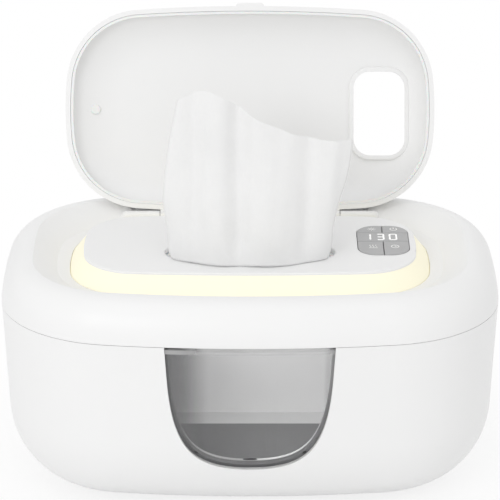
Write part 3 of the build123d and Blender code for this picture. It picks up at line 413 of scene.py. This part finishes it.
def curve_through(value, knots):
    """A smooth curve through knots of (place, value), with no flat spots at them."""
    places = [knot[0] for knot in knots]
    values = [knot[1] for knot in knots]
    if value <= places[0]:
        return values[0]
    if value >= places[-1]:
        return values[-1]
    i = max(k for k in range(len(places) - 1) if places[k] <= value)

    def slope(k):
        if k in (0, len(places) - 1):
            k = 1 if k == 0 else len(places) - 2
        return (values[k + 1] - values[k - 1]) / (places[k + 1] - places[k - 1])

    run = places[i + 1] - places[i]
    part = (value - places[i]) / run
    square, cube = part**2, part**3
    return (
        (2 * cube - 3 * square + 1) * values[i]
        + (cube - 2 * square + part) * run * slope(i)
        + (3 * square - 2 * cube) * values[i + 1]
        + (cube - square) * run * slope(i + 1)
    )


# --------------------------------------------------------------------- wipe
# All in millimetres. A rise is a height over the platform's top face.
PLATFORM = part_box("platform_plate")[1][2] * 1000
MOUTH_Y = -11.0
WIPE_FOOT = -4.5  # the rise of its lowest edge, down in the mouth
WIPE_HEIGHT = 66  # about how high it stands, before the top edge is drawn

# Knots of (rise, x) for the sides of the front, and of (x, rise) for its top.
LEFT_EDGE = [(-5, -29.0), (-1.6, -29.6), (0.12, -36.8), (15, -38.8), (30, -40.8), (55, -38.4)]
LEFT_EDGE += [(78, -34.0), (90, -31.5)]
RIGHT_EDGE = [(-5, 29.0), (-1.6, 29.6), (0.12, 36.4), (18, 39.5), (27, 41.4), (41, 45.7)]
RIGHT_EDGE += [(59, 48.3), (90, 50)]
TOP_EDGE = [(-44, 74.5), (-34, 78.6), (-21, 83.5), (-13, 80.8), (-6, 76.3), (0, 72.5)]
TOP_EDGE += [(8, 69.0), (15, 66.0), (22, 62.9), (34, 60.0), (48, 59.2)]

# Knots of (rise, how far the front bows forward) and of (rise, how far the sides turn back).
FRONT_REACH = [(-5, 2.2), (-1.6, 2.6), (0.12, 20.3), (1.4, 20.9), (7, 20.5), (25, 18.8)]
FRONT_REACH += [(50, 13.5), (84, 8.0)]
CURL_DEPTH = [(-5, 0.5), (-1.6, 0.5), (1.0, 9.0), (40, 13.0), (84, 11.0)]
FRONT_SHARE = 0.74  # of the width
FRONT_WRAP = 1.45  # radians that the front and each curl turn through
BOW_MARGIN = 5.5  # how much wider the bow is than the front, at either side
CURL_ROUND = 1.3  # how far a curl swells outwards before it turns in
CURL_TUCK = 0.75  # how far it then tucks in, as a share of its depth
LEFT_CURL_DROP, RIGHT_CURL_DROP = 9.0, 6.5  # how much lower the curls' top corners hang

# Each pleat: x at the platform, x at the lean height, half width, depth, and the rise where it starts to
# grow. A furrow has a depth over 0 and a ridge one under 0.
PLEATS = [
    (-5.6, -5.0, 4.6, 4.2, 1),
    (-27.5, -26.0, 4.2, 2.4, 10),
    (-17.0, -15.0, 6.5, -1.6, 0),
    (26.5, 28.0, 5.2, 2.7, -1),
    (9.0, 7.0, 8.0, -1.6, -1),
    (37.0, 42.0, 4.0, -1.1, 16),
]
PLEAT_LEAN_HEIGHT = 70
PLEAT_GROWTH = 14
PLEAT_START_SHARE = 0.25


def wipe_point(across, up):
    """A point of the wipe, from 0 to 1 across its width and from 0 to 1 up.

    The middle share of the width is the front, bowed forward. The rest curls back at either side.
    """
    share = across * 2 - 1
    side = 1 if share > 0 else -1
    turn = min(abs(share) / FRONT_SHARE, 1)
    rise = WIPE_FOOT + up * WIPE_HEIGHT
    for _ in range(8):
        left, right = curve_through(rise, LEFT_EDGE), curve_through(rise, RIGHT_EDGE)
        middle, half = (left + right) / 2, (right - left) / 2
        x = middle + side * half * math.sin(turn * FRONT_WRAP) / math.sin(FRONT_WRAP)
        rise = WIPE_FOOT + up * (curve_through(x, TOP_EDGE) - WIPE_FOOT)
    bow = math.sqrt(max(1 - ((x - middle) / (half + BOW_MARGIN)) ** 2, 0.0))
    y = MOUTH_Y - curve_through(rise, FRONT_REACH) * bow
    if abs(share) > FRONT_SHARE:
        curl = (abs(share) - FRONT_SHARE) / (1 - FRONT_SHARE)
        back = curve_through(rise, CURL_DEPTH)
        x += side * (CURL_ROUND * math.sin(min(curl * 2, 1) * math.pi) - back * CURL_TUCK * curl**2)
        y += back * math.sin(curl * FRONT_WRAP)
        rise -= curl * up * (LEFT_CURL_DROP if share < 0 else RIGHT_CURL_DROP)
    for low, high, width, deep, start in PLEATS:
        grown = between(rise, [(start, PLEAT_START_SHARE), (start + PLEAT_GROWTH, 1.0)])
        place = low + (high - low) * min(max(rise / PLEAT_LEAN_HEIGHT, 0), 1)
        y += deep * grown * math.exp(-(((x - place) / width) ** 2))
    return mm(x, y + slack(x, rise), PLATFORM + rise)


def slack(x, rise):
    """The long slow waves of a sheet that hangs loose, none of them down in the mouth."""
    loose = between(rise, [(-1, 0.0), (12, 1.0)])
    broad = 0.35 * math.sin(x * 0.31 + rise * 0.045 + 1.1) * math.sin(rise * 0.11 + 0.6)
    fine = 0.08 * math.sin(x * 0.83 - rise * 0.07)
    return loose * (broad + fine)


def grid(across, up, place):
    """Points and faces of a sheet of across by up squares, whose points place() gives."""
    points = [place(i / across, j / up) for j in range(up + 1) for i in range(across + 1)]
    faces = []
    for j in range(up):
        for i in range(across):
            low = j * (across + 1) + i
            high = low + across + 1
            faces.append((low, low + 1, high + 1, high))
    return points, faces


def make_wipe():
    wipe = mesh_object("wipe", *grid(128, 84, wipe_point), finishes["wipe_cloth"])
    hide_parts("wipe_sheet")
    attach(wipe, "cover")
    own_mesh(wipe)


make_wipe()


# --------------------------------------------------- marks on keys and display
def prism(outlines, bottom, top):
    """Flat plates raised from closed outlines given in millimetres."""
    points, faces = [], []
    for outline in outlines:
        first, count = len(points), len(outline)
        lower = [first + i for i in range(count)]
        upper = [first + count + i for i in range(count)]
        points += [mm(x, y, z) for z in (bottom, top) for x, y in outline]
        faces.append(upper)
        faces.append(lower[::-1])
        faces += [(lower[i - 1], lower[i], upper[i], upper[i - 1]) for i in range(count)]
    return points, faces


def bar(x0, y0, x1, y1, width):
    """A straight stroke with pointed ends."""
    along = Vector((x1 - x0, y1 - y0)).normalized()
    out = Vector((-along.y, along.x)) * width / 2
    a, b = Vector((x0, y0)), Vector((x1, y1))
    nose = along * width / 2
    return [tuple(p) for p in (a - nose, a - out, b - out, b + nose, b + out, a + out)]


def around(x, y, radius, turn):
    """The point at a radius and an angle in radians from a centre."""
    return x + radius * math.cos(turn), y + radius * math.sin(turn)


def arc(x, y, radius, width, start, end, steps=18):
    """A stroke bent round a centre, from one angle to another in degrees."""
    turns = [math.radians(start + (end - start) * i / steps) for i in range(steps + 1)]
    outer = [around(x, y, radius + width / 2, turn) for turn in turns]
    inner = [around(x, y, radius - width / 2, turn) for turn in turns]
    return outer + inner[::-1]


def ring(x, y, radius, width):
    """A closed ring, as two half turns."""
    return [arc(x, y, radius, width, 0, 180), arc(x, y, radius, width, 180, 360)]


# The bars of a seven-segment figure, each from one corner to another, in shares of the figure.
SEGMENTS = {
    "a": (0, 1, 1, 1),
    "b": (1, 0.5, 1, 1),
    "c": (1, 0, 1, 0.5),
    "d": (0, 0, 1, 0),
    "e": (0, 0, 0, 0.5),
    "f": (0, 0.5, 0, 1),
    "g": (0, 0.5, 1, 0.5),
}
LIT = {1: "bc", 3: "abcdg", 0: "abcdef"}
DIGIT_WIDTH = 3.2
DIGIT_HEIGHT = 7.4
STROKE = 0.85
BAR_GAP = 0.08
INK_LIFT, INK_TOP = 0.005, 0.06


def digit(number, x, y):
    """Seven-segment bars of one figure, from its lower left corner."""
    bars = []
    for name in LIT[number]:
        x0, y0, x1, y1 = SEGMENTS[name]
        a = Vector((x + x0 * DIGIT_WIDTH, y + y0 * DIGIT_HEIGHT))
        b = Vector((x + x1 * DIGIT_WIDTH, y + y1 * DIGIT_HEIGHT))
        ease = (b - a).normalized() * (STROKE / 2 + BAR_GAP)
        bars.append(bar(*(a + ease), *(b - ease), STROKE))
    return bars


def mark(name, outlines, body, node, finish):
    """Printed ink with a faint painted glow on the keys, and the display's lit figures, on top of a node of
    the control panel.
    """
    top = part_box(node)[1][2] * 1000
    plates = prism(outlines, top + INK_LIFT, top + INK_TOP)
    made = mesh_object(name, *plates, finish, smooth=False)
    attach(made, body)


def sun(x, y):
    """A small ring with eight rays."""
    rays = [math.radians(45 * i) for i in range(8)]
    spokes = [bar(*around(x, y, 1.55, turn), *around(x, y, 2.0, turn), 0.36) for turn in rays]
    return ring(x, y, 0.9, 0.42) + spokes


def power_sign(x, y):
    """An open ring with a stroke through its gap."""
    return [arc(x, y, 1.65, 0.5, 125, 415, 30), bar(x, y + 0.5, x, y + 1.9, 0.5)]


def warmth(x, y):
    """Three rising wavy lines over a bar."""

    def wave(shift, k):
        return x + shift + 0.35 * math.sin(k * 1.05), y - 1.0 + 0.5 * k

    lines = [bar(*wave(shift, k), *wave(shift, k + 1), 0.42) for shift in (-1.4, 0, 1.4) for k in range(6)]
    return lines + [bar(x - 2.0, y - 1.9, x + 2.0, y - 1.9, 0.5)]


def clock(x, y):
    """A ring with two hands."""
    return ring(x, y, 1.8, 0.46) + [bar(x, y, x, y + 1.1, 0.42), bar(x, y, x + 0.85, y, 0.42)]


# Each figure and its place from the left end of the display lens, then how far all stand from its front.
DIGITS = [(1, 3.15), (3, 9.65), (0, 15.85)]
DIGITS_FROM_FRONT = 1.8

# Each mark with its drawing, and its place to the right of the middle of its key and behind it.
KEY_MARKS = [
    ("light_mark", "rear_left_key", sun, 1.125, -0.1),
    ("power_mark", "rear_right_key", power_sign, -0.625, -0.1),
    ("warmth_mark", "front_left_key", warmth, 1.225, 1.8),
    ("timer_mark", "front_right_key", clock, -0.725, 1.8),
]


def mark_display():
    left, front = [edge * 1000 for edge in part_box("display_lens")[0][:2]]
    figures = []
    for number, along in DIGITS:
        figures += digit(number, left + along, front + DIGITS_FROM_FRONT)
    mark("display_digits", figures, "cover", "display_lens", digit_light)


def mark_keys():
    for name, key, drawing, right, behind in KEY_MARKS:
        low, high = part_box(key)
        x, y = [(low[side] + high[side]) * 500 for side in (0, 1)]
        mark(name, drawing(x + right, y + behind), key, key, printed_mark)


mark_display()
mark_keys()


# --------------------------------------------------- painted shade of the snap pockets behind the pane
# Each pocket's painted shade in millimetres: x, z, width, height, and how much it leans with the pane's
# edge.
POCKET_SHADES = [
    (-25.5, 36.0, 2.0, 1.2, -0.45),
    (25.7, 36.0, 2.0, 1.2, 0.45),
    (0, 32.4, 7.0, 1.1, 0),
]
CATCH_FRONT, CATCH_BACK = 0.03, 0.13
CATCH_CORNERS = 20


def pane_inner_face(x, z):
    """The y of the pane's inner face, the second that a line from the front meets."""
    pane = frame["nodes"]["window_pane"]
    start, way = Vector((x / 1000, -0.2, z / 1000)), Vector((0, 1, 0))
    outer = pane.ray_cast(start, way)[1]
    return pane.ray_cast(outer + way * 1e-5, way)[1].y * 1000


def make_pane_pocket_shade():
    """Thin dark plates along the foot of the pane, against its inner face, that paint the shade in three
    snap pockets.
    """
    points, faces = [], []
    turns = [2 * math.pi * i / CATCH_CORNERS for i in range(CATCH_CORNERS)]
    for x, z, width, height, lean in POCKET_SHADES:
        front = [len(points) + i for i in range(CATCH_CORNERS)]
        back = [corner + CATCH_CORNERS for corner in front]
        for depth in (CATCH_FRONT, CATCH_BACK):
            for turn in turns:
                px = x + width / 2 * math.cos(turn)
                pz = z + height / 2 * math.sin(turn) + lean * width / 2 * math.cos(turn)
                points.append(mm(px, pane_inner_face(px, pz) + depth, pz))
        faces.append(front)
        faces.append(back[::-1])
        faces += [(front[i], front[i - 1], back[i - 1], back[i]) for i in range(CATCH_CORNERS)]
    # The dark_rubber finish on these plates is painted shade of the pockets.
    pocket_shade_plates = mesh_object("pane_pocket_shade", points, faces, finishes["dark_rubber"], smooth=False)
    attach(pocket_shade_plates, "base")


make_pane_pocket_shade()


# ------------------------------------------------- floor, lights and camera
PURE_WHITE = (1.0, 1.0, 1.0)
FLOOR_CORNERS = [(-6, -4, 0), (6, -4, 0), (6, 8, 0), (-6, 8, 0)]
CONTACT_SHADE = (0.10, 0.22)
LAMP_AIM = (0, 0, 0.09)


def make_floor():
    """A pale floor that keeps the shade close under the shell and fades to plain white."""
    finish = Finish("pale_floor", (0.95, 0.95, 0.95), 0.8)
    finish.colour(finish.mix(finish.noise(0.4), (0.94, 0.94, 0.94), (0.955, 0.955, 0.955)))
    glow = finish.node("ShaderNodeEmission", inputs={"Color": PURE_WHITE, "Strength": 1.0})
    lit = Wire(finish, finish.shader.outputs[0])
    far = finish.node("ShaderNodeVectorMath", {"operation": "LENGTH"}, {0: finish.place()}, output=1)
    white = finish.looked_at() * (far.smooth(*CONTACT_SHADE) * 0.2 + 0.8)
    joined = finish.node("ShaderNodeMixShader", inputs={0: white, 1: lit, 2: glow})
    finish.feed(finish.nodes["Material Output"].inputs["Surface"], joined)
    mesh_object("floor", FLOOR_CORNERS, [(0, 1, 2, 3)], finish.material)


def make_world(strength):
    """Even white light from all round, and plain white where the camera looks past the warmer."""
    world = bpy.data.worlds.new("studio")
    scene.world = world
    world.use_nodes = True
    tree = Tree(world.node_tree)
    light = tree.nodes["Background"]
    tree.feed(light.inputs["Color"], PURE_WHITE)
    tree.feed(light.inputs["Strength"], strength)
    lit = Wire(tree, light.outputs[0])
    backdrop = tree.node("ShaderNodeBackground", inputs={"Color": PURE_WHITE, "Strength": 1.0})
    joined = tree.node("ShaderNodeMixShader", inputs={0: tree.looked_at(), 1: lit, 2: backdrop})
    tree.feed(tree.nodes["World Output"].inputs["Surface"], joined)


def disc_lamp(name, place, aim, size, power, spread=180):
    """A round soft light in one place, turned towards another."""
    data = bpy.data.lights.new(name, "AREA")
    data.shape = "DISK"
    data.size = size
    data.spread = math.radians(spread)
    data.energy = power
    made = bpy.data.objects.new(name, data)
    made.location = place
    made.rotation_euler = (Vector(aim) - Vector(place)).to_track_quat("-Z", "Y").to_euler()
    scene.collection.objects.link(made)


def studio_lamp(name, azimuth, elevation, distance, size, power):
    """A soft box, placed by its angles from the warmer: 0 azimuth is in front."""
    turn, tilt = math.radians(azimuth), math.radians(elevation)
    away = Vector((math.sin(turn) * math.cos(tilt), -math.cos(turn) * math.cos(tilt), math.sin(tilt)))
    disc_lamp(name, Vector(LAMP_AIM) + away * distance, LAMP_AIM, size, power)


make_floor()
make_world(0.81)
studio_lamp("key", azimuth=-26, elevation=26, distance=2.2, size=0.7, power=6.5)
studio_lamp("front", azimuth=0, elevation=0, distance=2.2, size=1.6, power=1.5)
studio_lamp("top", azimuth=-20, elevation=70, distance=2.0, size=1.4, power=3.6)
# The daylight that the pale shell lets through into the tank.
disc_lamp("tank_lamp", (0.014, -0.064, 0.066), (0.022, 0.025, 0.050), size=0.08, power=0.028, spread=120)

CAMERA_PITCH = 21.2
camera = bpy.data.objects.new("camera", bpy.data.cameras.new("camera"))
camera.data.lens = 222.05
camera.data.sensor_width = 36.0
camera.location = (0.0, -1.3985, 0.6516)
camera.rotation_euler = (math.radians(90 - CAMERA_PITCH), 0, 0)
scene.collection.objects.link(camera)
scene.camera = camera
scene.view_settings.view_transform = "Standard"
